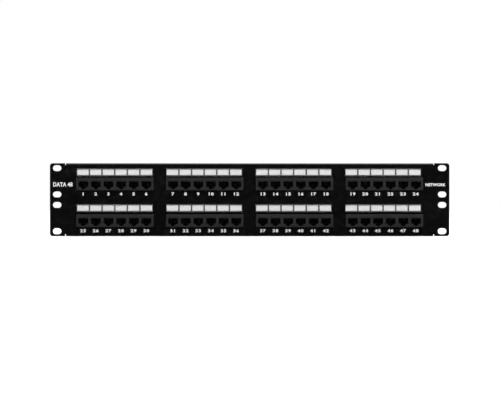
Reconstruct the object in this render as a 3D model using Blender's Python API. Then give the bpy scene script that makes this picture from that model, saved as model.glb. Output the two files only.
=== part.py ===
"""A 19-inch, two-unit patch panel: 48 modular jacks in eight six-port modules.

The frame: +X to the right as seen from the front, -Y towards the viewer, +Z up. The origin is the middle
of the sheet's rear face, the plane that bears on the rack's rails.
"""

import math

import bmesh
import bpy
from mathutils import Matrix, Vector

MM = 0.001
GAP = 0.3 * MM  # air left between neighbouring pieces

# Sheet-steel panel, after the 19-inch rack standard
PANEL_WIDTH = 482.6 * MM
PANEL_HEIGHT = 88.1 * MM
SHEET = 1.6 * MM
EAR_CORNER = 3.2 * MM
BEND_INSIDE = 0.5 * MM
FLANGE_DEPTH = 20.0 * MM
FLANGE_HALF_LENGTH = 221.9 * MM
RELIEF_WIDTH = 1.0 * MM
RELIEF_DEPTH = 2.2 * MM

# Rack slots: the two-unit pattern of four slots in each ear
SLOT_COLUMN_X = 465.1 * MM / 2
SLOT_HEIGHTS = (38.1 * MM, 6.35 * MM, -6.35 * MM, -38.1 * MM)
SLOT_LENGTH = 10.3 * MM
SLOT_WIDTH = 7.1 * MM

# Layout of the eight modules
COLUMNS = 4
COLUMN_PITCH = 108.5 * MM
ROW_PITCH = 44.45 * MM
TOP_JACK_Z = 18.9 * MM
LABEL_PITCH = 108.0 * MM
LABEL_SHIFT = -0.9 * MM
LABEL_ABOVE_JACK = (14.15 * MM, 15.35 * MM)  # in the top row, and in the bottom row
BOARD_ABOVE_JACK = 3.28 * MM

# Six-port jack block, held in the sheet by a front lip and snap tabs
PORTS = 6
PORT_PITCH = 15.24 * MM
LIP_HALF_WIDTH = 46.7 * MM
LIP_HALF_HEIGHT = 7.7 * MM
LIP_THICKNESS = 1.1 * MM
LIP_OVERHANG = 0.7 * MM
BLOCK_BACK = 15.5 * MM
SNAP_X = 28.0 * MM
SNAP_WIDTH = 8.0 * MM
SNAP_LENGTH = 5.0 * MM
SNAP_FLAT = 1.0 * MM

# Jack socket: a wide opening for the plug and two steps below it for the plug's latch
SOCKET_TOP = 3.3 * MM
SOCKET_STEPS = ((5.9 * MM, -3.6 * MM), (3.1 * MM, -5.2 * MM), (2.0 * MM, -6.3 * MM))
SOCKET_BACK = 10.0 * MM
POCKET_HALF_WIDTH = 44.8 * MM
POCKET_HALF_HEIGHT = 5.8 * MM

# Circuit board, on clinched standoffs
BOARD_HALF_WIDTH = 52.8 * MM
BOARD_HALF_HEIGHT = 19.5 * MM
BOARD_THICKNESS = 1.6 * MM
BOARD_CORNER = 1.5 * MM
STANDOFF_X = 49.8 * MM
STANDOFF_FLATS = 4.8 * MM
BOARD_HOLE_RADIUS = 1.6 * MM

# Wiring strips: insulation-displacement combs, two for each module, 24 conductors each
STRIP_OFFSET = 11.0 * MM
STRIP_HEIGHT = 10.6 * MM
CONDUCTORS = 24
CONDUCTOR_PITCH = 3.8 * MM
STRIP_BASE = 7.5 * MM
FIN_TALL = 16.0 * MM
FIN_SHORT = 14.0 * MM
FIN_POINT = 2.2 * MM
SLIT_WIDTH = 1.2 * MM

# Clear label holder with two push-in pegs, and the card inside it
HOLDER_HALF_WIDTH = 45.9 * MM
HOLDER_HALF_HEIGHT = 4.7 * MM
HOLDER_BACK_WALL = 0.5 * MM
HOLDER_FRONT_WALL = 0.7 * MM
HOLDER_RIM = 0.55 * MM
HOLDER_END = 0.5 * MM
THUMB_NOTCH_RADIUS = 2.6 * MM
CARD_HALF_WIDTH = 45.1 * MM
CARD_HALF_HEIGHT = 3.85 * MM
CARD_THICKNESS = 0.4 * MM
PEG_X = 36.0 * MM
PEG_RADIUS = 1.5 * MM
PEG_BEHIND_SHEET = 2.2 * MM
PEG_TIP = 0.8 * MM
PEG_TAPER = 0.6  # the tip's end radius over the shaft's

# Depths that follow from the sizes above; the sheet's rear face is at zero
SHEET_FRONT = -SHEET
LIP_BACK = SHEET_FRONT - GAP
LIP_FRONT = LIP_BACK - LIP_THICKNESS
BOARD_FRONT = BLOCK_BACK + GAP
BOARD_BACK = BOARD_FRONT + BOARD_THICKNESS
STRIP_FRONT = BOARD_BACK + GAP
HOLDER_BACK = SHEET_FRONT - GAP
CARD_BACK = HOLDER_BACK - HOLDER_BACK_WALL - GAP
CARD_FRONT = CARD_BACK - CARD_THICKNESS
HOLDER_FRONT = CARD_FRONT - GAP - HOLDER_FRONT_WALL

CUT_MARGIN = 1.0 * MM  # how far a cutter runs past the surface that it opens
ARC_STEPS = 4  # straight pieces in a quarter turn of a bend or a slot's end


# ---------------------------------------------------------------- outlines and meshes


def rectangle(low_a, low_b, high_a, high_b):
    return [(low_a, low_b), (high_a, low_b), (high_a, high_b), (low_a, high_b)]


def arc(centre_a, centre_b, radius, from_deg, to_deg, steps):
    """Points along an arc, both ends included."""
    turn = math.radians(to_deg - from_deg)
    start = math.radians(from_deg)
    angles = [start + turn * i / steps for i in range(steps + 1)]
    return [(centre_a + radius * math.cos(t), centre_b + radius * math.sin(t)) for t in angles]


def polygon(centre_a, centre_b, radius, sides, first_deg=0.0):
    return arc(centre_a, centre_b, radius, first_deg, first_deg + 360.0, sides)[:-1]


def obround(centre_a, centre_b, length, width):
    """A slot's outline, with half-round ends."""
    radius = width / 2
    reach = length / 2 - radius
    right = arc(centre_a + reach, centre_b, radius, -90, 90, 2 * ARC_STEPS)
    left = arc(centre_a - reach, centre_b, radius, 90, 270, 2 * ARC_STEPS)
    return right + left


def on_axis(axis, a, b, along):
    """The 3-D point of outline point (a, b) at a distance along the axis that the outline is pushed along."""
    return {"X": (along, a, b), "Y": (a, along, b), "Z": (a, b, along)}[axis]


def add_prism(bm, outline, axis, start, end):
    """Adds a closed outline pushed from start to end along an axis."""
    ring = [bm.verts.new(on_axis(axis, a, b, start)) for a, b in outline]
    cap = bm.faces.new(ring)
    pushed = bmesh.ops.extrude_face_region(bm, geom=[cap])["geom"]
    moving = [v for v in pushed if isinstance(v, bmesh.types.BMVert)]
    bmesh.ops.translate(bm, verts=moving, vec=Vector(on_axis(axis, 0, 0, end - start)))


def push_face(bm, face, offset):
    """Pushes one face of a closed mesh outwards on new side walls, and returns the pushed face."""
    pushed = bmesh.ops.extrude_face_region(bm, geom=[face])["geom"]
    bmesh.ops.delete(bm, geom=[face], context="FACES_ONLY")
    moved = next(f for f in pushed if isinstance(f, bmesh.types.BMFace))
    bmesh.ops.translate(bm, verts=moved.verts, vec=Vector(offset))
    return moved


def prism_mesh(name, outlines, axis, start, end):
    """One mesh holding the prisms of several outlines."""
    bm = bmesh.new()
    for outline in outlines:
        add_prism(bm, outline, axis, start, end)
    return finished_mesh(bm, name)


def finished_mesh(bm, name):
    bmesh.ops.recalc_face_normals(bm, faces=bm.faces)
    mesh = bpy.data.meshes.new(name)
    bm.to_mesh(mesh)
    bm.free()
    return mesh


def with_booleans(base, steps):
    """The mesh left after Boolean modifiers, each an (operation, other mesh) pair, act on base in turn."""
    host = bpy.data.objects.new(base.name + "_host", base)
    bpy.context.collection.objects.link(host)
    helpers = [host]
    for operation, other in steps:
        helper = bpy.data.objects.new(other.name + "_helper", other)
        bpy.context.collection.objects.link(helper)
        helpers.append(helper)
        modifier = host.modifiers.new(operation.lower(), "BOOLEAN")
        modifier.operation = operation
        modifier.solver = "EXACT"
        modifier.object = helper
    bpy.context.view_layer.update()
    graph = bpy.context.evaluated_depsgraph_get()
    result = bpy.data.meshes.new_from_object(host.evaluated_get(graph))
    result.name = base.name
    for helper in helpers:
        bpy.data.objects.remove(helper)
    return result


def material(name, colour, roughness, metallic=0.0, alpha=1.0):
    made = bpy.data.materials.new(name)
    made.use_nodes = True
    shader = made.node_tree.nodes["Principled BSDF"]
    shader.inputs["Base Color"].default_value = (*colour, 1.0)
    shader.inputs["Roughness"].default_value = roughness
    shader.inputs["Metallic"].default_value = metallic
    shader.inputs["Alpha"].default_value = alpha
    return made


def piece(name, mesh, finish, parent=None, location=(0, 0, 0)):
    """A named object that shows this mesh, placed in its parent's frame."""
    made = bpy.data.objects.new(name, mesh)
    bpy.context.collection.objects.link(made)
    if not mesh.materials:
        mesh.materials.append(finish)
    made.parent = parent
    made.location = location
    return made


def anchor(name, location, parent=None):
    made = bpy.data.objects.new(name, None)
    bpy.context.collection.objects.link(made)
    made.parent = parent
    made.location = location
    return made


# ---------------------------------------------------------------- layout


def module_places():
    """(number, row, x, z) of each module, along the top row and then the bottom; z is its jacks' line."""
    places = []
    for row in range(2):
        for column in range(COLUMNS):
            x = (column - (COLUMNS - 1) / 2) * COLUMN_PITCH
            z = TOP_JACK_Z - row * ROW_PITCH
            places.append((row * COLUMNS + column + 1, row, x, z))
    return places


def label_offset(row, x):
    """From a module's jacks to its label: the labels' columns stand a little closer together."""
    return (x * (LABEL_PITCH / COLUMN_PITCH - 1) + LABEL_SHIFT, 0, LABEL_ABOVE_JACK[row])


def port_offsets():
    return [(i - (PORTS - 1) / 2) * PORT_PITCH for i in range(PORTS)]


# ---------------------------------------------------------------- the sheet-steel panel


def sheet_outline():
    """The flat sheet between its two bends, with ears that stand as high as the bent flanges."""
    half_width = PANEL_WIDTH / 2
    half_height = PANEL_HEIGHT / 2
    bend_line = half_height - SHEET - BEND_INSIDE
    notch_bottom = half_height - RELIEF_DEPTH
    ear_start = FLANGE_HALF_LENGTH + RELIEF_WIDTH
    corner = arc(half_width - EAR_CORNER, half_height - EAR_CORNER, EAR_CORNER, 90, 0, ARC_STEPS)
    quarter = [
        (FLANGE_HALF_LENGTH, bend_line),
        (FLANGE_HALF_LENGTH, notch_bottom),
        (ear_start, notch_bottom),
        (ear_start, half_height),
        *corner,
    ]
    top_right = quarter
    bottom_right = [(x, -z) for x, z in reversed(quarter)]
    bottom_left = [(-x, -z) for x, z in quarter]
    top_left = [(-x, z) for x, z in reversed(quarter)]
    return top_right + bottom_right + bottom_left + top_left


def add_flange(bm, side):
    """Bends a flange back from the sheet's top edge (side 1) or its bottom edge (side -1)."""
    bend_line = PANEL_HEIGHT / 2 - SHEET - BEND_INSIDE
    edge_middle = Vector((0, -SHEET / 2, side * bend_line))
    edge = min(bm.faces, key=lambda f: (f.calc_center_median() - edge_middle).length)
    centre = Vector((0, BEND_INSIDE, side * bend_line))
    for _ in range(ARC_STEPS):
        edge = push_face(bm, edge, (0, 0, 0))
        turn = Matrix.Rotation(-side * math.pi / 2 / ARC_STEPS, 3, "X")
        bmesh.ops.rotate(bm, verts=edge.verts, cent=centre, matrix=turn)
    push_face(bm, edge, (0, FLANGE_DEPTH - BEND_INSIDE, 0))


def window_outlines():
    """The cut-outs for the jack blocks' bodies."""
    half_a = LIP_HALF_WIDTH - LIP_OVERHANG + GAP
    half_b = LIP_HALF_HEIGHT - LIP_OVERHANG + GAP
    return [rectangle(x - half_a, z - half_b, x + half_a, z + half_b) for _, _, x, z in module_places()]


def rack_slot_outlines():
    return [
        obround(side * SLOT_COLUMN_X, z, SLOT_LENGTH, SLOT_WIDTH)
        for side in (-1, 1)
        for z in SLOT_HEIGHTS
    ]


def peg_hole_outlines():
    outlines = []
    for _, row, x, z in module_places():
        beside, _, above = label_offset(row, x)
        for side in (-1, 1):
            outlines.append(polygon(x + beside + side * PEG_X, z + above, PEG_RADIUS + GAP, 2 * ARC_STEPS))
    return outlines


def standoff_outlines():
    """Hexagons with two flats facing the jack block beside them."""
    corner_radius = STANDOFF_FLATS / 2 / math.cos(math.radians(30))
    return [
        polygon(x + side * STANDOFF_X, z + BOARD_ABOVE_JACK, corner_radius, 6, 30)
        for _, _, x, z in module_places()
        for side in (-1, 1)
    ]


def panel_mesh():
    bm = bmesh.new()
    add_prism(bm, sheet_outline(), "Y", SHEET_FRONT, 0)
    bmesh.ops.recalc_face_normals(bm, faces=bm.faces)
    add_flange(bm, 1)
    add_flange(bm, -1)
    sheet = finished_mesh(bm, "panel_plate")
    standoffs = prism_mesh("standoffs", standoff_outlines(), "Y", -SHEET / 2, BLOCK_BACK)
    openings = window_outlines() + rack_slot_outlines() + peg_hole_outlines()
    cuts = prism_mesh("panel_cuts", openings, "Y", SHEET_FRONT - CUT_MARGIN, CUT_MARGIN)
    return with_booleans(sheet, [("UNION", standoffs), ("DIFFERENCE", cuts)])


# ---------------------------------------------------------------- one six-port module


def socket_outline(x):
    """The front opening of one jack, latch side down."""
    right = []
    top = SOCKET_TOP
    for half_width, bottom in SOCKET_STEPS:
        right += [(x + half_width, top), (x + half_width, bottom)]
        top = bottom
    left = [(2 * x - a, b) for a, b in reversed(right)]
    return right + left


def snap_outline(side):
    """A snap tab's side view: a flat that catches behind the sheet, then a ramp down to the block's body."""
    root = LIP_HALF_HEIGHT - LIP_OVERHANG - CUT_MARGIN
    points = [
        (GAP, root),
        (GAP, LIP_HALF_HEIGHT),
        (GAP + SNAP_FLAT, LIP_HALF_HEIGHT),
        (GAP + SNAP_LENGTH, root),
    ]
    return [(y, side * z) for y, z in points]


def jack_block_mesh():
    bm = bmesh.new()
    lip = rectangle(-LIP_HALF_WIDTH, -LIP_HALF_HEIGHT, LIP_HALF_WIDTH, LIP_HALF_HEIGHT)
    add_prism(bm, lip, "Y", LIP_FRONT, LIP_BACK)
    bmesh.ops.recalc_face_normals(bm, faces=bm.faces)
    back = next(f for f in bm.faces if f.normal.y > 0.9)
    bmesh.ops.inset_region(bm, faces=[back], thickness=LIP_OVERHANG, use_even_offset=True)
    push_face(bm, back, (0, BLOCK_BACK - LIP_BACK, 0))
    block = finished_mesh(bm, "jack_block")
    tabs = bmesh.new()
    for centre in (-SNAP_X, SNAP_X):
        for side in (-1, 1):
            start = centre - SNAP_WIDTH / 2
            add_prism(tabs, snap_outline(side), "X", start, start + SNAP_WIDTH)
    snaps = finished_mesh(tabs, "snap_tabs")
    sockets = prism_mesh(
        "sockets",
        [socket_outline(x) for x in port_offsets()],
        "Y",
        LIP_FRONT - CUT_MARGIN,
        SOCKET_BACK + CUT_MARGIN,
    )
    pocket = prism_mesh(
        "pocket",
        [rectangle(-POCKET_HALF_WIDTH, -POCKET_HALF_HEIGHT, POCKET_HALF_WIDTH, POCKET_HALF_HEIGHT)],
        "Y",
        SOCKET_BACK,
        BLOCK_BACK + CUT_MARGIN,
    )
    steps = [("UNION", snaps), ("DIFFERENCE", sockets), ("DIFFERENCE", pocket)]
    return with_booleans(block, steps)


def contact_carrier_mesh():
    """The stepped bar that fills the block's rear pocket and carries the spring contacts' roots."""
    front = SOCKET_BACK + GAP
    back = BLOCK_BACK - GAP
    half_height = POCKET_HALF_HEIGHT - GAP
    step_y = (front + back) / 2
    step_z = SOCKET_TOP + 2 * GAP
    side = [
        (front, -half_height),
        (back, -half_height),
        (back, half_height),
        (step_y, half_height),
        (step_y, step_z),
        (front, step_z),
    ]
    half_width = POCKET_HALF_WIDTH - GAP
    return prism_mesh("contact_carrier", [side], "X", -half_width, half_width)


def circuit_board_mesh():
    a, b, cut = BOARD_HALF_WIDTH, BOARD_HALF_HEIGHT, BOARD_CORNER
    right = [(a - cut, -b), (a, cut - b), (a, b - cut), (a - cut, b)]
    outline = right + [(-x, z) for x, z in reversed(right)]
    board = prism_mesh("circuit_board", [outline], "Y", BOARD_FRONT, BOARD_BACK)
    circles = [polygon(side * STANDOFF_X, 0, BOARD_HOLE_RADIUS, 2 * ARC_STEPS) for side in (-1, 1)]
    holes = prism_mesh("board_holes", circles, "Y", BOARD_FRONT - CUT_MARGIN, BOARD_BACK + CUT_MARGIN)
    return with_booleans(board, [("DIFFERENCE", holes)])


def idc_strip_mesh():
    """A comb of pointed fins: a tall fin outside each pair of conductors and a short one between the two."""
    half_width = CONDUCTORS * CONDUCTOR_PITCH / 2
    floor = STRIP_FRONT + STRIP_BASE
    reach = (CONDUCTOR_PITCH - SLIT_WIDTH) / 2
    comb = [(-half_width, STRIP_FRONT), (half_width, STRIP_FRONT)]
    for i in reversed(range(CONDUCTORS + 1)):
        x = -half_width + i * CONDUCTOR_PITCH
        tip = STRIP_FRONT + (FIN_TALL if i % 2 == 0 else FIN_SHORT)
        if i < CONDUCTORS:
            comb += [(x + reach, floor), (x + reach, tip - FIN_POINT)]
        comb.append((x, tip))
        if i > 0:
            comb += [(x - reach, tip - FIN_POINT), (x - reach, floor)]
    return prism_mesh("idc_strip", [comb], "Z", -STRIP_HEIGHT / 2, STRIP_HEIGHT / 2)


# ---------------------------------------------------------------- label holder and card


def peg_mesh(x):
    """A round peg with a tapered tip, rooted in the holder's back wall."""
    bm = bmesh.new()
    start = HOLDER_BACK - HOLDER_BACK_WALL / 2
    shoulder = PEG_BEHIND_SHEET - PEG_TIP
    add_prism(bm, polygon(x, 0, PEG_RADIUS, 2 * ARC_STEPS), "Y", start, shoulder)
    bmesh.ops.recalc_face_normals(bm, faces=bm.faces)
    shaft_end = next(f for f in bm.faces if f.normal.y > 0.9)
    tip = push_face(bm, shaft_end, (0, PEG_TIP, 0))
    to_axis = Matrix.Translation((-x, 0, 0))
    bmesh.ops.scale(bm, verts=tip.verts, vec=Vector((PEG_TAPER, 1, PEG_TAPER)), space=to_axis)
    return finished_mesh(bm, "peg")


def label_holder_mesh():
    """A flat clear sleeve, closed at its left end, with two pegs behind it.

    Its right end is open, and a round notch in the front wall there lets a thumb drag the card out.
    """
    outer = rectangle(-HOLDER_HALF_WIDTH, -HOLDER_HALF_HEIGHT, HOLDER_HALF_WIDTH, HOLDER_HALF_HEIGHT)
    sleeve = prism_mesh("label_holder", [outer], "Y", HOLDER_FRONT, HOLDER_BACK)
    cavity_half = HOLDER_HALF_HEIGHT - HOLDER_RIM
    cavity = rectangle(
        HOLDER_END - HOLDER_HALF_WIDTH, -cavity_half, HOLDER_HALF_WIDTH + CUT_MARGIN, cavity_half
    )
    front = HOLDER_FRONT + HOLDER_FRONT_WALL
    back = HOLDER_BACK - HOLDER_BACK_WALL
    hollow = prism_mesh("holder_cavity", [cavity], "Y", front, back)
    notch_outline = polygon(HOLDER_HALF_WIDTH, 0, THUMB_NOTCH_RADIUS, 4 * ARC_STEPS)
    notch = prism_mesh("thumb_notch", [notch_outline], "Y", HOLDER_FRONT - CUT_MARGIN, front + GAP / 2)
    pegs = [("UNION", peg_mesh(side * PEG_X)) for side in (-1, 1)]
    return with_booleans(sleeve, [("DIFFERENCE", hollow), ("DIFFERENCE", notch), *pegs])


def label_card_mesh():
    outline = rectangle(-CARD_HALF_WIDTH, -CARD_HALF_HEIGHT, CARD_HALF_WIDTH, CARD_HALF_HEIGHT)
    return prism_mesh("label_card", [outline], "Y", CARD_FRONT, CARD_BACK)


# ---------------------------------------------------------------- assembly


def clear_scene():
    for obj in list(bpy.data.objects):
        bpy.data.objects.remove(obj)


def build():
    clear_scene()
    black_paint = material("black_paint", (0.012, 0.012, 0.013), 0.45)
    black_plastic = material("black_plastic", (0.022, 0.022, 0.023), 0.55)
    carrier_plastic = material("carrier_plastic", (0.03, 0.03, 0.032), 0.6)
    board_green = material("board_green", (0.02, 0.13, 0.06), 0.4)
    clear_plastic = material("clear_plastic", (0.9, 0.92, 0.93), 0.1, alpha=0.35)
    white_card = material("white_card", (0.82, 0.82, 0.8), 0.8)

    panel = anchor("panel", (0, 0, 0))
    piece("panel_plate", panel_mesh(), black_paint, panel)
    block = jack_block_mesh()
    carrier = contact_carrier_mesh()
    board = circuit_board_mesh()
    strip = idc_strip_mesh()
    holder = label_holder_mesh()
    card = label_card_mesh()
    for number, row, x, z in module_places():
        module = anchor(f"module_{number}", (x, 0, z), panel)
        piece(f"jack_block_{number}", block, black_plastic, module)
        piece(f"contact_carrier_{number}", carrier, carrier_plastic, module)
        rear = anchor(f"rear_{number}", (0, 0, BOARD_ABOVE_JACK), module)
        piece(f"circuit_board_{number}", board, board_green, rear)
        piece(f"idc_strip_upper_{number}", strip, black_plastic, rear, (0, 0, STRIP_OFFSET))
        piece(f"idc_strip_lower_{number}", strip, black_plastic, rear, (0, 0, -STRIP_OFFSET))
        label = anchor(f"label_{number}", label_offset(row, x), module)
        piece(f"label_holder_{number}", holder, clear_plastic, label)
        piece(f"label_card_{number}", card, white_card, label)
    bpy.context.view_layer.update()


build()
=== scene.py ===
"""The looks of a 19-inch, two-unit patch panel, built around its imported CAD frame.

Every place and size comes from the frame's boxes or from the named values below. Lengths are in metres.
Each module is built once around the centre line of its six jacks, then set down at the eight modules.
"""

import math

import bmesh
import bpy
from mathutils import Matrix, Vector


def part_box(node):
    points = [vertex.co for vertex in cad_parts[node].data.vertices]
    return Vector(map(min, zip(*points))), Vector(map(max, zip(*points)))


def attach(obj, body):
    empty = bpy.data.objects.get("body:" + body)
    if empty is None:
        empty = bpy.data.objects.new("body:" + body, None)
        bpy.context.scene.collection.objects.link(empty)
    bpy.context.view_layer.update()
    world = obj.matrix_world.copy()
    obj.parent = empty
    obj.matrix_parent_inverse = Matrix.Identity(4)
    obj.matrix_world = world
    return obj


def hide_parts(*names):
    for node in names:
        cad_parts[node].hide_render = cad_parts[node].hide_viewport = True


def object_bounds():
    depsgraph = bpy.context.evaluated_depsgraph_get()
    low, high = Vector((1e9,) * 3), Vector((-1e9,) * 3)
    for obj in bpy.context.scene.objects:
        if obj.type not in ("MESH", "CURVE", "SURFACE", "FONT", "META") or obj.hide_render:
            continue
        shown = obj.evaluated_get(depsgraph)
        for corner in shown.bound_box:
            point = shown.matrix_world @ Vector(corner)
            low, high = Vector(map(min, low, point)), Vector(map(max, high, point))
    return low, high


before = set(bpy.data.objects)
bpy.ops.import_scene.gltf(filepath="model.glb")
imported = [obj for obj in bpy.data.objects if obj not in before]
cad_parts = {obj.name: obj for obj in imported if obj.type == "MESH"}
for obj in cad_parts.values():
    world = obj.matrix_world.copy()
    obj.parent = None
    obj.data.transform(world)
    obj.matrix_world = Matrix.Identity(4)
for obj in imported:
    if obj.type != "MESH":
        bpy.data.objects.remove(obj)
CAD_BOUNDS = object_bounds()

MM = 0.001
SKIN = 0.02 * MM  # how far ink and labels stand proud of what they are on
MODULES = range(1, 9)
MODULES_IN_ROW = 4
PORTS = 6
PORT_PITCH = 15.24 * MM
PANEL = "panel"

# Camera: far back and level, square on to the panel's front
SENSOR_WIDTH = 36.0
LENS = 150.0
VIEW_WIDTH = 604.0 * MM
CAMERA_SIDE = 0.45 * MM
CAMERA_LIFT = -0.4 * MM
CAMERA_NEAR = 10 * MM

# Printing on the panel
NUMBER_HEIGHT = 3.8 * MM
DIGIT_STRETCH = 1.28
DIGIT_PITCH = 3.8 * MM
NUMBER_BELOW_JACK = 12.0 * MM
NUMBER_BESIDE_JACK = -0.3 * MM
INK_SPREAD = 0.16 * MM
LETTER_SPACING = 1.06
GLYPH_STEPS = 4
EAR_WORDS = {  # side: (words, width, height, x and z of their middle)
    "left": ("DATA 48", 23.4 * MM, 5.2 * MM, -225.6 * MM, 18.4 * MM),
    "right": ("NETWORK", 24.4 * MM, 3.6 * MM, 224.6 * MM, 18.0 * MM),
}

# Edge rounding
LIP_ROUNDING = 0.75 * MM
LIP_STEPS = 4
PANEL_ROUNDING = 0.22 * MM
BLOCK_ROUNDING = 0.2 * MM
STRIP_ROUNDING = 0.2 * MM
CARRIER_ROUNDING = 0.15 * MM
HOLDER_ROUNDING = 0.15 * MM
BOARD_ROUNDING = 0.1 * MM
CARD_ROUNDING = 0.05 * MM
STICKER_ROUNDING = 0.03 * MM

# Label cards and their clear holders
FIELD_LINE = 2.0 * MM
WINDOW_HALF_HEIGHT = 3.2 * MM

# Spring contacts, in each jack's own frame
CONTACTS = 8
CONTACT_PITCH = 1.02 * MM
CONTACT_RADIUS = 0.18 * MM
CONTACT_TOP = 2.4 * MM
CONTACT_BEND = 0.6 * MM
CONTACT_FRONT = 4.6 * MM
CONTACT_ROOT = 10.5 * MM
CONTACT_LENGTH = 5.2 * MM
CONTACT_BEND_END = 245.0  # degrees; the bend begins on the roof, at 90
CONTACT_BEND_STEPS = 8
RIB_NOSE = 7.4 * MM
RIB_NOSE_Z = -1.0 * MM
RIB_BOTTOM = -2.6 * MM
RIB_TOP = 1.6 * MM
RIB_BACK = 10.4 * MM
RIB_THICKNESS = 0.44 * MM
RIB_CHIN = 1.0 * MM  # how far the nose is cut back to the rib's bottom, and to its top
RIB_BROW = 0.5 * MM

# Wiring strips, and the clips in their slits (depths from the strip's front)
CONDUCTORS = 24
CONDUCTOR_PITCH = 3.8 * MM
PAIR = 2
SLIT_WIDTH = 1.2 * MM
CLIP_ROOT = 7.0 * MM
CLIP_THROAT = 8.2 * MM
CLIP_LIPS = 10.4 * MM
CLIP_END = 11.2 * MM
CLIP_THICKNESS = 0.5 * MM
CLIP_LIP_GAP = 0.42 * MM  # from a slit's middle to a tine, as is the throat's gap
CLIP_THROAT_GAP = 0.14 * MM
CLIP_BITE = 0.1 * MM  # how far a tine is sunk in the slit's wall

# The circuit board's rear face
PIN_ROW_OFFSET = 1.27 * MM
SOLDER_RADIUS = 0.72 * MM
SOLDER_SIDES = 10
SOLDER_PROFILE = (  # (share of the radius, height) up the joint and the cut-off pin
    (1.0, 0),
    (0.93, 0.12 * MM),
    (0.7, 0.4 * MM),
    (0.5, 0.75 * MM),
    (0.44, 1.25 * MM),
    (0.34, 1.35 * MM),
)
TRACE_WIDTH = 0.36 * MM
TRACE_HEIGHT = 0.035 * MM
TRACE_LAP = 0.4  # of half its width, that a run of track goes on past its corners
TRACE_STRAIGHT = 0.25  # of its height, that a track runs straight at each end
BOARD_NUMBER_HEIGHT = 2.2 * MM
BOARD_NUMBER_Z = 3.1 * MM
BOARD_INK_SPREAD = 0.05 * MM
SCREW_X = 49.8 * MM
SCREW_RADIUS = 2.6 * MM
SCREW_RIM = 0.35 * MM
SCREW_SIDES = 24
DOME_END = 36.0  # degrees of arc from the rim to the crown
DOME_STEPS = 4
CROWN_RISE = 0.3 * MM
CROWN_TIP = (0.2 * MM, 0.05 * MM)  # radius, and height over the crown
RECESS_REACH = 1.3 * MM
RECESS_HALF_WIDTH = 0.3 * MM
RECESS_DEPTH = 1.0 * MM

# Colour-code labels: a paper strip beside each comb, with a tile for each conductor
CODE_HALF_HEIGHT = 1.25 * MM
CODE_Z = 17.85 * MM
TILE_HALF_WIDTH = 1.65 * MM
TILE_HALF_HEIGHT = 0.95 * MM
STRIPE = 0.6  # of a tile's half height, for a striped conductor's narrow tile
PAPER = 0.1 * MM

# Copies of CAD meshes: points this close are one, and faces that turn less than this are one
WELD = 0.001 * MM
FLAT_DEG = 1

# Studio: white surroundings, dim in a patch straight ahead of the panel and below the horizon
DIM_PATCH = 0.02
DIM_EDGES_DEG = (38.0, 70.0)
DIM_BELOW = 0.15
BELOW_FADE = 0.3
FLOOR_REACH = 6.0
FLOOR_GAP = 0.1 * MM
KEY_LIGHT = ("key", "SUN", (0.7, -1.0, 2.2), 2.2, 40)  # name, kind, place, energy, size
BACK_LIGHT = ("back", "AREA", (0.5, 1.7, 1.5), 30.0, 1.4)


# ---------------------------------------------------------------- materials


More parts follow.
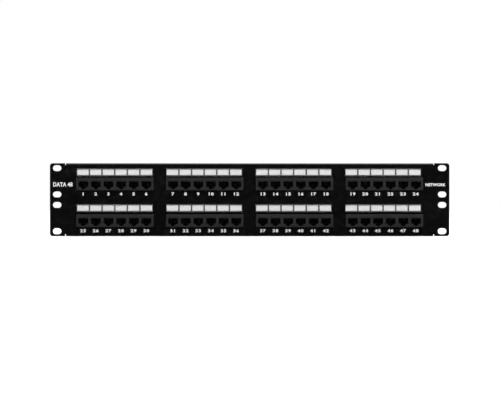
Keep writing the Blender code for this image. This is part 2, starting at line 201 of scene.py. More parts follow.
class Surface:
    """A Principled material and the node chains that give it colour, grain and wear."""

    def __init__(self, name, colour, roughness, metallic=0.0, specular=0.5):
        self.material = bpy.data.materials.new(name)
        self.material.use_nodes = True
        self.tree = self.material.node_tree
        self.shader = self.tree.nodes["Principled BSDF"]
        self.shader.inputs["Metallic"].default_value = metallic
        self.shader.inputs["Specular IOR Level"].default_value = specular
        self.colour = self.constant_colour(colour)
        self.roughness = roughness
        self.height = None
        self.place = self.node("ShaderNodeTexCoord").outputs["Object"]

    def node(self, kind, **values):
        made = self.tree.nodes.new(kind)
        for name, value in values.items():
            setattr(made, name, value)
        return made

    def link(self, source, target):
        self.tree.links.new(source, target)

    def constant_colour(self, colour):
        made = self.node("ShaderNodeRGB")
        made.outputs[0].default_value = (*colour, 1.0)
        return made.outputs[0]

    def noise(self, size, detail=3.0, stretch=(1.0, 1.0, 1.0)):
        """Noise whose features are about this size, drawn out along an axis where stretch is above 1."""
        mapping = self.node("ShaderNodeMapping")
        mapping.inputs["Scale"].default_value = [1.0 / s for s in stretch]
        self.link(self.place, mapping.inputs["Vector"])
        made = self.node("ShaderNodeTexNoise")
        made.inputs["Scale"].default_value = 1.0 / size
        made.inputs["Detail"].default_value = detail
        self.link(mapping.outputs["Vector"], made.inputs["Vector"])
        return made.outputs["Fac"]

    def remap(self, value, from_low, from_high, to_low, to_high):
        made = self.node("ShaderNodeMapRange")
        for name, number in zip(
            ("From Min", "From Max", "To Min", "To Max"), (from_low, from_high, to_low, to_high)
        ):
            made.inputs[name].default_value = number
        self.link(value, made.inputs["Value"])
        return made.outputs["Result"]

    def mix_in(self, colour, mask):
        """Lays another colour over the colour so far, where the mask is above nought."""
        made = self.node("ShaderNodeMix", data_type="RGBA")
        self.link(mask, made.inputs["Factor"])
        self.link(self.colour, made.inputs["A"])
        made.inputs["B"].default_value = (*colour, 1.0)
        self.colour = made.outputs["Result"]

    def mottle(self, colour, size, low=0.35, high=0.75, stretch=(1.0, 1.0, 1.0)):
        """Clouds of another colour."""
        self.mix_in(colour, self.remap(self.noise(size, stretch=stretch), low, high, 0.0, 1.0))

    def edge_wear(self, colour, size, strength, sharpness=0.06):
        """Worn paint on convex edges, broken up by noise."""
        edges = self.remap(
            self.node("ShaderNodeNewGeometry").outputs["Pointiness"], 0.5, 0.5 + sharpness, 0.0, 1.0
        )
        patches = self.remap(self.noise(size, detail=6.0), 0.5, 0.7, 0.0, strength)
        both = self.node("ShaderNodeMath", operation="MULTIPLY")
        self.link(edges, both.inputs[0])
        self.link(patches, both.inputs[1])
        self.mix_in(colour, both.outputs["Value"])

    def grain(self, size, depth, detail=2.0, stretch=(1.0, 1.0, 1.0)):
        """Adds relief of this size and depth to the surface."""
        bump = self.node("ShaderNodeBump")
        bump.inputs["Strength"].default_value = 1.0
        bump.inputs["Distance"].default_value = depth
        self.link(self.noise(size, detail, stretch), bump.inputs["Height"])
        if self.height:
            self.link(self.height, bump.inputs["Normal"])
        self.height = bump.outputs["Normal"]

    def done(self, roughness_spread, roughness_size):
        """Joins it all up, with the roughness varied by this much in clouds of this size."""
        low, high = self.roughness - roughness_spread, self.roughness + roughness_spread
        varied = self.remap(self.noise(roughness_size, detail=4.0), 0.3, 0.7, low, high)
        self.link(varied, self.shader.inputs["Roughness"])
        self.link(self.colour, self.shader.inputs["Base Color"])
        if self.height:
            self.link(self.height, self.shader.inputs["Normal"])
        return self.material


def powder_coat():
    """Satin black powder coat: orange peel, fine speckle and paint rubbed thin on a few edges."""
    paint = Surface("powder_coat", (0.0013, 0.0013, 0.0014), 0.33, specular=0.4)
    paint.mottle((0.0021, 0.0021, 0.0023), 40 * MM)
    paint.edge_wear((0.012, 0.012, 0.013), 6 * MM, strength=0.5)
    paint.grain(1.3 * MM, 0.003 * MM)
    paint.grain(0.25 * MM, 0.001 * MM)
    return paint.done(0.04, 60 * MM)


def moulded_plastic(name, colour, lighter):
    """Spark-eroded black plastic with faint flow marks along the moulding."""
    plastic = Surface(name, colour, 0.48)
    plastic.mottle(lighter, 9 * MM, stretch=(5.0, 1.0, 1.0))
    plastic.grain(0.25 * MM, 0.004 * MM)
    return plastic.done(0.06, 6 * MM)


def solder_mask(name, colour, lighter):
    """Green lacquer over glass cloth, with the cloth's weave just showing."""
    board = Surface(name, colour, 0.3)
    board.mottle(lighter, 7 * MM)
    for stretch in ((3.0, 1.0, 1.0), (1.0, 1.0, 3.0)):
        board.grain(0.5 * MM, 0.006 * MM, stretch=stretch)
    return board.done(0.06, 10 * MM)


def board_edge():
    """Sawn glass-fibre laminate."""
    edge = Surface("board_edge", (0.42, 0.36, 0.17), 0.7, specular=0.3)
    edge.mottle((0.3, 0.26, 0.12), 1.2 * MM, stretch=(4.0, 1.0, 4.0))
    edge.grain(0.2 * MM, 0.02 * MM, detail=4.0)
    return edge.done(0.06, 3 * MM)


def card_stock(name, colour):
    """White uncoated card, with paper fibres."""
    card = Surface(name, colour, 0.85, specular=0.2)
    card.mottle([c * 0.95 for c in colour], 1.5 * MM, stretch=(3.0, 1.0, 1.0))
    card.grain(0.15 * MM, 0.01 * MM, detail=4.0, stretch=(4.0, 1.0, 1.0))
    return card.done(0.05, 5 * MM)


def clear_plastic():
    """Clear acrylic, slightly scuffed."""
    acrylic = Surface("clear_plastic", (0.86, 0.88, 0.88), 0.12)
    acrylic.mottle((0.92, 0.93, 0.93), 6 * MM)
    acrylic.grain(4 * MM, 0.003 * MM)
    acrylic.shader.inputs["Alpha"].default_value = 0.07
    return acrylic.done(0.04, 8 * MM)


def rim_shade_acrylic():
    """Acrylic left rough along the holder's rims, coloured dark grey and half see-through as painted shade
    over the card's top and bottom edges.
    """
    acrylic = Surface("rim_shade_acrylic", (0.12, 0.124, 0.124), 0.55, specular=0.3)
    acrylic.mottle((0.16, 0.165, 0.165), 2 * MM, stretch=(4.0, 1.0, 1.0))
    acrylic.grain(0.2 * MM, 0.01 * MM)
    acrylic.shader.inputs["Alpha"].default_value = 0.5
    return acrylic.done(0.06, 4 * MM)


def ink(name, colour):
    """Screen-printed ink with pinholes and a soft, uneven film."""
    film = Surface(name, colour, 0.55, specular=0.3)
    film.mottle([c * 0.86 for c in colour], 0.6 * MM, low=0.5)
    film.grain(0.2 * MM, 0.003 * MM)
    return film.done(0.06, 3 * MM)


def metal(name, colour, darker, roughness, stretch=(1.0, 1.0, 1.0)):
    """Bare or plated metal with tarnish clouds and a drawn grain."""
    plate = Surface(name, colour, roughness, metallic=1.0)
    plate.mottle(darker, 2.5 * MM)
    plate.grain(0.12 * MM, 0.002 * MM, stretch=stretch)
    return plate.done(0.08, 2 * MM)


# ---------------------------------------------------------------- mesh helpers


def rectangle(low_a, low_b, high_a, high_b):
    return [(low_a, low_b), (high_a, low_b), (high_a, high_b), (low_a, high_b)]


def arc(centre_a, centre_b, radius, from_deg, to_deg, steps):
    """Points along an arc, both ends included."""
    angles = [math.radians(from_deg + (to_deg - from_deg) * i / steps) for i in range(steps + 1)]
    return [(centre_a + radius * math.cos(t), centre_b + radius * math.sin(t)) for t in angles]


def on_axis(axis, a, b, along):
    """The 3-D point of outline point (a, b) at a distance along the axis that the outline is pushed along."""
    return {"X": (along, a, b), "Y": (a, along, b), "Z": (a, b, along)}[axis]


def face(bm, corners, slot=0):
    made = bm.faces.new(corners)
    made.material_index = slot
    return made


def add_prism(bm, outline, axis, start, end, slot=0):
    """Adds a closed outline pushed from start to end along an axis."""
    near = [bm.verts.new(on_axis(axis, a, b, start)) for a, b in outline]
    far = [bm.verts.new(on_axis(axis, a, b, end)) for a, b in outline]
    face(bm, near, slot)
    face(bm, far[::-1], slot)
    for i in range(len(outline)):
        j = (i + 1) % len(outline)
        face(bm, (near[j], near[i], far[i], far[j]), slot)


def add_box(bm, low, high, slot=0):
    add_prism(bm, rectangle(low[0], low[2], high[0], high[2]), "Y", low[1], high[1], slot)


def add_lathe(bm, profile, centre, sides):
    """Turns a profile of (radius, distance along +Y) points about the line along Y through centre."""
    rings = []
    for radius, along in profile:
        turn = [2 * math.pi * i / sides for i in range(sides)]
        ring = [Vector((radius * math.cos(t), along, radius * math.sin(t))) for t in turn]
        rings.append([bm.verts.new(Vector(centre) + p) for p in ring])
    for ring, following in zip(rings, rings[1:]):
        for i in range(sides):
            j = (i + 1) % sides
            face(bm, (ring[j], ring[i], following[i], following[j]))
    face(bm, rings[0])
    face(bm, rings[-1][::-1])


def add_wire(bm, x, path, radius, sides=8):
    """Sweeps a round wire along (y, z) points in the plane at x."""
    rings = []
    for i, (y, z) in enumerate(path):
        before = path[max(i - 1, 0)]
        after = path[min(i + 1, len(path) - 1)]
        along = Vector((0, after[0] - before[0], after[1] - before[1])).normalized()
        across = along.cross(Vector((1, 0, 0)))
        ring = []
        for k in range(sides):
            t = 2 * math.pi * k / sides
            offset = radius * (math.cos(t) * Vector((1, 0, 0)) + math.sin(t) * across)
            ring.append(bm.verts.new(Vector((x, y, z)) + offset))
        rings.append(ring)
    for ring, following in zip(rings, rings[1:]):
        for k in range(sides):
            m = (k + 1) % sides
            face(bm, (ring[k], ring[m], following[m], following[k]))
    face(bm, rings[0][::-1])
    face(bm, rings[-1])


def box_of(verts):
    """The lowest and highest corners of the box around these points."""
    axes = [[v.co[i] for v in verts] for i in range(3)]
    return Vector([min(a) for a in axes]), Vector([max(a) for a in axes])


def soften(bm, width, segments=2, angle=30.0):
    """Rounds every edge that is sharper than the angle."""
    limit = math.radians(angle)
    sharp = [e for e in bm.edges if len(e.link_faces) == 2 and e.calc_face_angle() > limit]
    bmesh.ops.bevel(
        bm, geom=sharp, offset=width, segments=segments, profile=0.5, affect="EDGES", clamp_overlap=True
    )


def finished_mesh(bm, name, *materials):
    bmesh.ops.recalc_face_normals(bm, faces=bm.faces)
    mesh = bpy.data.meshes.new(name)
    bm.to_mesh(mesh)
    bm.free()
    for finish in materials:
        mesh.materials.append(finish)
    return mesh


def cad_bmesh(node, centre):
    """A welded copy of a CAD node's mesh about centre, with its flat faces whole."""
    bm = bmesh.new()
    bm.from_mesh(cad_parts[node].data)
    bmesh.ops.translate(bm, verts=bm.verts, vec=-Vector(centre))
    bmesh.ops.remove_doubles(bm, verts=bm.verts, dist=WELD)
    bmesh.ops.dissolve_limit(bm, angle_limit=math.radians(FLAT_DEG), verts=bm.verts, edges=bm.edges)
    return bm


def round_lip(bm, width):
    """Gives the outer edges of the jack block's front lip the wide rounding of a moulded frame."""
    low, high = box_of(bm.verts)

    def on_rim(vert):
        at_side = min(vert.co.x - low.x, high.x - vert.co.x) < SKIN
        at_end = min(vert.co.z - low.z, high.z - vert.co.z) < SKIN
        return vert.co.y - low.y < SKIN and (at_side or at_end)

    rim = [e for e in bm.edges if all(on_rim(v) for v in e.verts)]
    bmesh.ops.bevel(bm, geom=rim, offset=width, segments=LIP_STEPS, profile=0.5, affect="EDGES")


def jack_block_mesh(centre, finish):
    """The jack block's CAD mesh with its lip and its other hard edges rounded."""
    bm = cad_bmesh("jack_block_1", centre)
    round_lip(bm, LIP_ROUNDING)
    soften(bm, BLOCK_ROUNDING)
    return smooth(finished_mesh(bm, "jack_housing", finish))


def rounded_cad_mesh(node, centre, width, *finishes, slot_of=None):
    """A copy of a CAD node's mesh about centre, with its hard edges rounded.

    slot_of gives a face's material slot, where the node has more than one finish.
    """
    bm = cad_bmesh(node, centre)
    soften(bm, width)
    if slot_of:
        for each in bm.faces:
            each.material_index = slot_of(each)
    return smooth(finished_mesh(bm, node + "_rounded", *finishes))


def carved(mesh, cutter):
    """The mesh with the cutter's shape taken out of it."""
    pair = []
    for source in (mesh, cutter):
        holder = bpy.data.objects.new("carving", source)
        bpy.context.scene.collection.objects.link(holder)
        pair.append(holder)
    cut = pair[0].modifiers.new("cut", "BOOLEAN")
    cut.operation = "DIFFERENCE"
    cut.object = pair[1]
    bpy.context.view_layer.update()
    result = bpy.data.meshes.new_from_object(pair[0].evaluated_get(bpy.context.evaluated_depsgraph_get()))
    for holder in pair:
        bpy.data.objects.remove(holder)
    return result


def smooth(mesh, angle=50.0):
    mesh.shade_smooth()
    mesh.set_sharp_from_angle(angle=math.radians(angle))
    return mesh


def piece(name, mesh, body, location=(0, 0, 0), replaces=()):
    """Puts a mesh in the scene as a piece that rides on a body, and hides the CAD nodes that it replaces."""
    made = bpy.data.objects.new(name, mesh)
    bpy.context.scene.collection.objects.link(made)
    made.location = location
    weighted = made.modifiers.new("weighted_normals", "WEIGHTED_NORMAL")
    weighted.keep_sharp = True
    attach(made, body)
    if replaces:
        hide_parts(*replaces)
    return made


# ---------------------------------------------------------------- places in the frame


def box_centre(node):
    low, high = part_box(node)
    return (low + high) / 2


def in_sheet_plane(node):
    """The middle of a node's box, moved to the plane of the sheet's rear face."""
    centre = box_centre(node)
    return Vector((centre.x, 0, centre.z))


def jack_line(module):
    """The middle of a module's row of jacks, in the plane of the sheet's rear face."""
    return in_sheet_plane(f"jack_block_{module}")


def port_offsets():
    return [(i - (PORTS - 1) / 2) * PORT_PITCH for i in range(PORTS)]


# ---------------------------------------------------------------- printing


def text_mesh(words, spread):
    """Flat words in the XY plane, with their strokes thickened by the ink's spread."""
    curve = bpy.data.curves.new("words", "FONT")
    curve.body = words
    curve.size = 1.0
    curve.offset = spread
    curve.space_character = LETTER_SPACING
    curve.extrude = SKIN / 2
    curve.resolution_u = GLYPH_STEPS
    holder = bpy.data.objects.new("words", curve)
    bpy.context.scene.collection.objects.link(holder)
    bpy.context.view_layer.update()
    graph = bpy.context.evaluated_depsgraph_get()
    mesh = bpy.data.meshes.new_from_object(holder.evaluated_get(graph))
    bpy.data.objects.remove(holder)
    return mesh


def add_text(bm, words, centre, facing, height, width=None, stretch=1.0, spread=INK_SPREAD):
    """Adds words, fitted to a height and a width or a stretch, that face the front (-1) or the back (1)."""
    mesh = text_mesh(words, spread / height)
    low, high = box_of(mesh.vertices)
    size = high - low
    tall = height / size.y
    wide = width / size.x if width else tall * stretch
    fit = Matrix.Diagonal((wide, tall, 1.0, 1.0))
    turn = Matrix.Rotation(math.radians(90), 4, "X")
    if facing > 0:
        turn = Matrix.Rotation(math.radians(180), 4, "Z") @ turn
    mesh.transform(Matrix.Translation(centre) @ turn @ fit @ Matrix.Translation(-(low + high) / 2))
    bm.from_mesh(mesh)
    bpy.data.meshes.remove(mesh)


def panel_printing(white):
    """Port numbers under the jacks, a row of modules at a time, and a plain word on each ear."""
    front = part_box("panel_plate")[0].y - SKIN / 2
    for row, level in enumerate(("top", "bottom")):
        bm = bmesh.new()
        for column in range(MODULES_IN_ROW):
            module = row * MODULES_IN_ROW + column + 1
            line = jack_line(module)
            for i, x in enumerate(port_offsets()):
                digits = str((module - 1) * PORTS + i + 1)
                for k, digit in enumerate(digits):
                    aside = NUMBER_BESIDE_JACK + (k - (len(digits) - 1) / 2) * DIGIT_PITCH
                    centre = (line.x + x + aside, front, line.z - NUMBER_BELOW_JACK)
                    add_text(bm, digit, centre, -1, NUMBER_HEIGHT, stretch=DIGIT_STRETCH)
        name = f"port_numbers_{level}"
        piece(name, finished_mesh(bm, name, white), PANEL)
    for side, (words, width, height, x, z) in EAR_WORDS.items():
        bm = bmesh.new()
        add_text(bm, words, (x, front, z), -1, height, width=width)
        name = f"ear_print_{side}"
        piece(name, finished_mesh(bm, name, white), PANEL)


# ---------------------------------------------------------------- inside the jacks


def contact_path():
    """One spring contact from its root in the carrier, forward along the roof, round a bend and back down."""
    middle = CONTACT_TOP - CONTACT_BEND
    bend = arc(CONTACT_FRONT, middle, CONTACT_BEND, 90, CONTACT_BEND_END, CONTACT_BEND_STEPS)
    away = math.radians(CONTACT_BEND_END + 90)
    tip = (bend[-1][0] + CONTACT_LENGTH * math.cos(away), bend[-1][1] + CONTACT_LENGTH * math.sin(away))
    return [(CONTACT_ROOT, CONTACT_TOP), *bend, tip]


def contacts_mesh(gold):
    """The spring contacts of a block's jacks."""
    bm = bmesh.new()
    path = contact_path()
    for port in port_offsets():
        for k in range(CONTACTS):
            add_wire(bm, port + (k - (CONTACTS - 1) / 2) * CONTACT_PITCH, path, CONTACT_RADIUS)
    return smooth(finished_mesh(bm, "contacts", gold))


def comb_mesh(plastic):
    """Ribs that stand between the contacts' free ends."""
    bm = bmesh.new()
    side = [
        (RIB_NOSE, RIB_NOSE_Z),
        (RIB_NOSE + RIB_CHIN, RIB_BOTTOM),
        (RIB_BACK, RIB_BOTTOM),
        (RIB_BACK, RIB_TOP),
        (RIB_NOSE + RIB_BROW, RIB_TOP),
    ]
    for port in port_offsets():
        for k in range(CONTACTS + 1):
            x = port + (k - CONTACTS / 2) * CONTACT_PITCH
            add_prism(bm, side, "X", x - RIB_THICKNESS / 2, x + RIB_THICKNESS / 2)
    return finished_mesh(bm, "contact_comb", plastic)


# ---------------------------------------------------------------- the back


def conductor_places(first=0, last=CONDUCTORS):
    """The middles of a comb's slits, left to right."""
    return [(i - (CONDUCTORS - 1) / 2) * CONDUCTOR_PITCH for i in range(first, last)]


def clips_mesh(tin):
    """A forked blade in each slit, whose two tines pinch the wire pushed between them."""
    bm = bmesh.new()
    tine = SLIT_WIDTH / 2 + CLIP_BITE
    half = [
        (tine, CLIP_ROOT),
        (tine, CLIP_END),
        (CLIP_LIP_GAP, CLIP_END),
        (CLIP_THROAT_GAP, CLIP_LIPS),
        (CLIP_THROAT_GAP, CLIP_THROAT),
    ]
    for x in conductor_places():
        fork = [(x + a, y) for a, y in half] + [(x - a, y) for a, y in reversed(half)]
        add_prism(bm, fork, "Z", -CLIP_THICKNESS / 2, CLIP_THICKNESS / 2)
    return finished_mesh(bm, "idc_clips", tin)


def pin_places():
    """Each port's (x, z, row) solder pins, eight in two staggered rows: row 1 above and row -1 below."""
    ports = []
    for port in port_offsets():
        pins = []
        for k in range(CONTACTS):
            row = 1 if k % 2 == 0 else -1
            pins.append((port + (k - (CONTACTS - 1) / 2) * CONTACT_PITCH, row * PIN_ROW_OFFSET, row))
        ports.append(pins)
    return ports


def solder_mesh(solder):
    """The jack pins' joints, solder that climbs a cut-off pin, on the board's rear face at y = 0."""
    profile = [(SOLDER_RADIUS * spread, height) for spread, height in SOLDER_PROFILE]
    bm = bmesh.new()
    for pins in pin_places():
        for x, z, _ in pins:
            add_lathe(bm, profile, (x, 0, z), SOLDER_SIDES)
    return smooth(finished_mesh(bm, "solder_joints", solder))


def add_trace(bm, points):
    """A raised copper track under the lacquer, along (x, z) points on the board's rear face."""
    half = TRACE_WIDTH / 2
    for (x0, z0), (x1, z1) in zip(points, points[1:]):
        along = Vector((x1 - x0, z1 - z0)).normalized()
        side = Vector((-along.y, along.x)) * half
        over = along * half * TRACE_LAP
        near, far = Vector((x0, z0)) - over, Vector((x1, z1)) + over
        outline = [near + side, near - side, far - side, far + side]
        add_prism(bm, [tuple(p) for p in outline], "Y", 0, TRACE_HEIGHT)


def traces_mesh(lacquer, pins_z):
    """Tracks from each port's pins, half of them up to the upper comb and half down to the lower one.

    Each leaves its pin and meets its comb square on.
    """
    bm = bmesh.new()
    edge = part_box("idc_strip_upper_1")[0].z - box_centre("circuit_board_1").z
    for port, pins in enumerate(pin_places()):
        first = port * CONDUCTORS // PORTS
        ends = conductor_places(first, first + CONDUCTORS // PORTS)
        for row in (1, -1):
            stop = row * edge
            for (x, z, _), end in zip([p for p in pins if p[2] == row], ends):
                start = pins_z + z
                straight = (stop - start) * TRACE_STRAIGHT
                add_trace(bm, [(x, start), (x, start + straight), (end, stop - straight), (end, stop)])
    return finished_mesh(bm, "traces", lacquer)


def board_printing_mesh(white):
    """Port numbers 1 to 6 in white on the board's rear face, over each port's pins."""
    bm = bmesh.new()
    above_tracks = TRACE_HEIGHT + SKIN / 2
    for i, x in enumerate(port_offsets()):
        centre = (x, above_tracks, BOARD_NUMBER_Z)
        add_text(bm, str(i + 1), centre, 1, BOARD_NUMBER_HEIGHT, spread=BOARD_INK_SPREAD)
    return finished_mesh(bm, "board_numbers", white)


def colour_code_mesh(paper, inks, level):
    """A paper strip with a tile for each conductor: for each wire pair, a narrow one and then a full one.

    inks are the two pair colours, which alternate along the comb. level is 1 above the boards' middle and -1
    below it.
    """
    bm = bmesh.new()
    half = CONDUCTORS * CONDUCTOR_PITCH / 2
    middle = level * CODE_Z
    add_box(bm, (-half, 0, middle - CODE_HALF_HEIGHT), (half, PAPER, middle + CODE_HALF_HEIGHT))
    soften(bm, STICKER_ROUNDING)
    for i, x in enumerate(conductor_places()):
        colour = 1 + (i // PAIR) % len(inks)
        striped = i % PAIR == 0
        high = middle + TILE_HALF_HEIGHT
        low = middle - TILE_HALF_HEIGHT
        if striped:
            low = high - TILE_HALF_HEIGHT * STRIPE
        add_box(bm, (x - TILE_HALF_WIDTH, PAPER, low), (x + TILE_HALF_WIDTH, PAPER + SKIN, high), colour)
    return finished_mesh(bm, "colour_code", paper, *inks)


def screw_mesh(steel):
    """A pan-head screw with a crossed recess; its head stands on y = 0 and faces +Y."""
    bm = bmesh.new()
    dome = [(r, y + SCREW_RIM) for r, y in arc(0, 0, SCREW_RADIUS, 0, DOME_END, DOME_STEPS)]
    crown = dome[-1][1] + CROWN_RISE
    tip_radius, tip_rise = CROWN_TIP
    profile = [(SCREW_RADIUS, 0), *dome, (SCREW_RADIUS / 2, crown), (tip_radius, crown + tip_rise)]
    add_lathe(bm, profile, (0, 0, 0), SCREW_SIDES)
    head = finished_mesh(bm, "board_screw", steel)
    for a, b in ((RECESS_REACH, RECESS_HALF_WIDTH), (RECESS_HALF_WIDTH, RECESS_REACH)):
        blade = bmesh.new()
        add_box(blade, (-a, crown - RECESS_DEPTH, -b), (a, crown + RECESS_DEPTH, b))
        head = carved(head, finished_mesh(blade, "recess"))
    return smooth(head, 35)


# ---------------------------------------------------------------- labels


def field_lines_mesh(dark):
    """The lines that divide a label card into six fields."""
    bm = bmesh.new()
    low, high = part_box("label_card_1")
    half = (high.z - low.z) / 2
    for i in range(PORTS - 1):
        x = (i - (PORTS - 2) / 2) * PORT_PITCH
        add_box(bm, (x - FIELD_LINE / 2, -SKIN, -half), (x + FIELD_LINE / 2, 0, half))
    return finished_mesh(bm, "field_lines", dark)


def holder_mesh(centre, clear, shaded_rims):
    """The clear holder, with rough acrylic along its top and bottom rims whose dark grey is painted shade
    over the card's edges.
    """
    bm = cad_bmesh("label_holder_1", centre)
    for level in (-WINDOW_HALF_HEIGHT, WINDOW_HALF_HEIGHT):
        everything = bm.verts[:] + bm.edges[:] + bm.faces[:]
        bmesh.ops.bisect_plane(bm, geom=everything, plane_co=(0, 0, level), plane_no=(0, 0, 1))
    soften(bm, HOLDER_ROUNDING)
    for each in bm.faces:
        each.material_index = int(abs(each.calc_center_median().z) > WINDOW_HALF_HEIGHT)
    return smooth(finished_mesh(bm, "label_holder", clear, shaded_rims))


# ---------------------------------------------------------------- studio


def surroundings():
    """White surroundings, dim straight ahead and below, where the black front would mirror them.

    The camera sees them all white.
    """
    world = bpy.data.worlds.new("studio")
    bpy.context.scene.world = world
    world.use_nodes = True
    tree = world.node_tree
    ahead = tree.nodes.new("ShaderNodeVectorMath")
    ahead.operation = "DOT_PRODUCT"
    ahead.inputs[1].default_value = (0, -1, 0)
    direction = tree.nodes.new("ShaderNodeTexCoord").outputs["Generated"]
    tree.links.new(direction, ahead.inputs[0])
    brightness = tree.nodes.new("ShaderNodeMapRange")
    brightness.interpolation_type = "SMOOTHSTEP"
    inner, outer = (math.cos(math.radians(angle)) for angle in DIM_EDGES_DEG)
    for name, value in (("From Min", outer), ("From Max", inner), ("To Min", 1.0), ("To Max", DIM_PATCH)):
        brightness.inputs[name].default_value = value
    tree.links.new(ahead.outputs["Value"], brightness.inputs["Value"])
    height = tree.nodes.new("ShaderNodeSeparateXYZ")
    tree.links.new(direction, height.inputs["Vector"])
    above = tree.nodes.new("ShaderNodeMapRange")
    for name, value in (("From Min", -BELOW_FADE), ("From Max", 0.0), ("To Min", DIM_BELOW), ("To Max", 1.0)):
        above.inputs[name].default_value = value
    tree.links.new(height.outputs["Z"], above.inputs["Value"])
    both = tree.nodes.new("ShaderNodeMath")
    both.operation = "MULTIPLY"
    tree.links.new(brightness.outputs["Result"], both.inputs[0])
    tree.links.new(above.outputs["Result"], both.inputs[1])
    seen = tree.nodes.new("ShaderNodeMath")
    seen.operation = "MAXIMUM"
    tree.links.new(both.outputs["Value"], seen.inputs[0])
    tree.links.new(tree.nodes.new("ShaderNodeLightPath").outputs["Is Camera Ray"], seen.inputs[1])
    tree.links.new(seen.outputs["Value"], tree.nodes["Background"].inputs["Strength"])
    tree.nodes["Background"].inputs["Color"].default_value = (1.0, 1.0, 1.0, 1.0)


def floor():
    mesh = bpy.data.meshes.new("floor")
    level = CAD_BOUNDS[0].z - FLOOR_GAP
    outline = rectangle(-FLOOR_REACH, -FLOOR_REACH, FLOOR_REACH, FLOOR_REACH)
    mesh.from_pydata([on_axis("Z", a, b, level) for a, b in outline], [], [(0, 1, 2, 3)])
    made = bpy.data.objects.new("floor", mesh)
    bpy.context.scene.collection.objects.link(made)
    pale = Surface("pale_floor", (0.95, 0.95, 0.95), 0.8, specular=0.1)
    mesh.materials.append(pale.done(0.05, 500 * MM))
    made.visible_glossy = False


def lamp(name, kind, where, energy, size):
    """A soft lamp that looks at the origin; size is metres across, or a sun's angle in degrees."""
    data = bpy.data.lights.new(name, kind)
    data.energy = energy
    if kind == "SUN":
        data.angle = math.radians(size)
    else:
        data.size = size
    made = bpy.data.objects.new(name, data)
    made.location = where
    made.rotation_euler = (-Vector(where)).to_track_quat("-Z", "Y").to_euler()
    bpy.context.scene.collection.objects.link(made)


def studio():
    surroundings()
    floor()
    lamp(*KEY_LIGHT)
    lamp(*BACK_LIGHT)
    bpy.context.scene.view_settings.view_transform = "Standard"


def camera():
    data = bpy.data.cameras.new("camera")
    data.sensor_width = SENSOR_WIDTH
    data.lens = LENS
    data.clip_start = CAMERA_NEAR
    made = bpy.data.objects.new("camera", data)
    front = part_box("panel_plate")[0].y
    made.location = (CAMERA_SIDE, front - VIEW_WIDTH * LENS / SENSOR_WIDTH, CAMERA_LIFT)
    made.rotation_euler = (math.radians(90), 0, 0)
    bpy.context.scene.collection.objects.link(made)
    bpy.context.scene.camera = made


# ---------------------------------------------------------------- assembly


def front_of_modules(dark):
    """The jacks, their contacts and the label holders of every module."""
    jack_black = moulded_plastic("jack_black", (0.0165, 0.0165, 0.017), (0.02, 0.02, 0.021))
    carrier_black = moulded_plastic("carrier_black", (0.02, 0.02, 0.021), (0.026, 0.026, 0.027))
    gold = metal("gold_plate", (0.83, 0.58, 0.22), (0.62, 0.4, 0.14), 0.25, stretch=(1.0, 6.0, 1.0))
    paper = card_stock("card_stock", (0.72, 0.72, 0.715))

    first = jack_line(1)
    block = jack_block_mesh(first, jack_black)
    carrier = rounded_cad_mesh("contact_carrier_1", first, CARRIER_ROUNDING, carrier_black)
    contacts = contacts_mesh(gold)
    comb = comb_mesh(carrier_black)
    holder = holder_mesh(in_sheet_plane("label_holder_1"), clear_plastic(), rim_shade_acrylic())
    card = rounded_cad_mesh("label_card_1", box_centre("label_card_1"), CARD_ROUNDING, paper)
    lines = field_lines_mesh(dark)
    for n in MODULES:
        line = jack_line(n)
        piece(f"jack_housing_{n}", block, PANEL, line, [f"jack_block_{n}"])
        piece(f"carrier_bar_{n}", carrier, PANEL, line, [f"contact_carrier_{n}"])
        piece(f"spring_contacts_{n}", contacts, PANEL, line)
        piece(f"contact_comb_{n}", comb, PANEL, line)
        node = f"label_holder_{n}"
        piece(f"clear_holder_{n}", holder, node, in_sheet_plane(node), [node])
        node = f"label_card_{n}"
        place = box_centre(node)
        piece(f"paper_card_{n}", card, node, place, [node])
        place.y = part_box(node)[0].y
        piece(f"field_lines_{n}", lines, node, place)


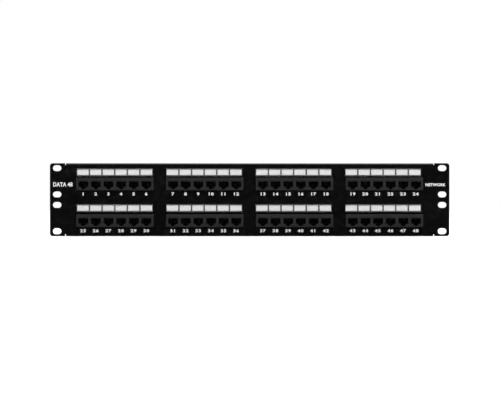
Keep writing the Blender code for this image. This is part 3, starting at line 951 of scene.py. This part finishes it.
def back_of_modules(white):
    """The boards, screws, wiring combs and colour-code labels of every module."""
    green = solder_mask("solder_mask", (0.008, 0.075, 0.03), (0.011, 0.09, 0.037))
    track_green = solder_mask("track_mask", (0.02, 0.15, 0.055), (0.026, 0.17, 0.065))
    strip_black = moulded_plastic("strip_black", (0.014, 0.014, 0.0145), (0.018, 0.018, 0.019))
    tin = metal("tin_plate", (0.72, 0.72, 0.7), (0.5, 0.5, 0.48), 0.3)
    solder = metal("solder", (0.66, 0.66, 0.65), (0.45, 0.45, 0.44), 0.28)
    zinc = metal("zinc_plate", (0.62, 0.62, 0.6), (0.42, 0.42, 0.41), 0.34)
    paper = card_stock("label_paper", (0.78, 0.78, 0.77))
    blue, orange = ink("blue_ink", (0.02, 0.09, 0.5)), ink("orange_ink", (0.75, 0.2, 0.015))
    leaf, brown = ink("green_ink", (0.015, 0.27, 0.06)), ink("brown_ink", (0.13, 0.045, 0.015))

    middle = in_sheet_plane("circuit_board_1")
    board = rounded_cad_mesh(
        "circuit_board_1",
        middle,
        BOARD_ROUNDING,
        green,
        board_edge(),
        slot_of=lambda each: int(abs(each.normal.y) < 0.5),
    )
    strip_middle = box_centre("idc_strip_upper_1")
    strip_middle.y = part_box("idc_strip_upper_1")[0].y
    comb = rounded_cad_mesh("idc_strip_upper_1", strip_middle, STRIP_ROUNDING, strip_black)
    clips = clips_mesh(tin)
    joints = solder_mesh(solder)
    tracks = traces_mesh(track_green, jack_line(1).z - middle.z)
    numbers = board_printing_mesh(white)
    codes = {
        "upper": colour_code_mesh(paper, (blue, orange), 1),
        "lower": colour_code_mesh(paper, (leaf, brown), -1),
    }
    screw = screw_mesh(zinc)
    for n in MODULES:
        node = f"circuit_board_{n}"
        middle = in_sheet_plane(node)
        piece(f"printed_board_{n}", board, PANEL, middle, [node])
        rear = Vector((middle.x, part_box(node)[1].y, middle.z))
        line = jack_line(n)
        piece(f"pin_solder_{n}", joints, PANEL, (line.x, rear.y, line.z))
        piece(f"board_tracks_{n}", tracks, PANEL, rear)
        piece(f"board_numbers_{n}", numbers, PANEL, rear)
        for side, name in ((-1, "left"), (1, "right")):
            place = rear + Vector((side * SCREW_X, 0, 0))
            piece(f"board_screw_{name}_{n}", screw, PANEL, place)
        for level in ("upper", "lower"):
            node = f"idc_strip_{level}_{n}"
            place = box_centre(node)
            place.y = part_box(node)[0].y
            piece(f"wiring_comb_{level}_{n}", comb, PANEL, place, [node])
            piece(f"idc_clips_{level}_{n}", clips, PANEL, place)
            piece(f"colour_code_{level}_{n}", codes[level], PANEL, rear)


def build():
    studio()
    camera()
    white = ink("white_ink", (0.8, 0.8, 0.79))
    dark = ink("dark_ink", (0.012, 0.012, 0.012))
    panel = rounded_cad_mesh("panel_plate", (0, 0, 0), PANEL_ROUNDING, powder_coat())
    piece("painted_panel", panel, PANEL, replaces=["panel_plate"])
    panel_printing(white)
    front_of_modules(dark)
    back_of_modules(white)


build()
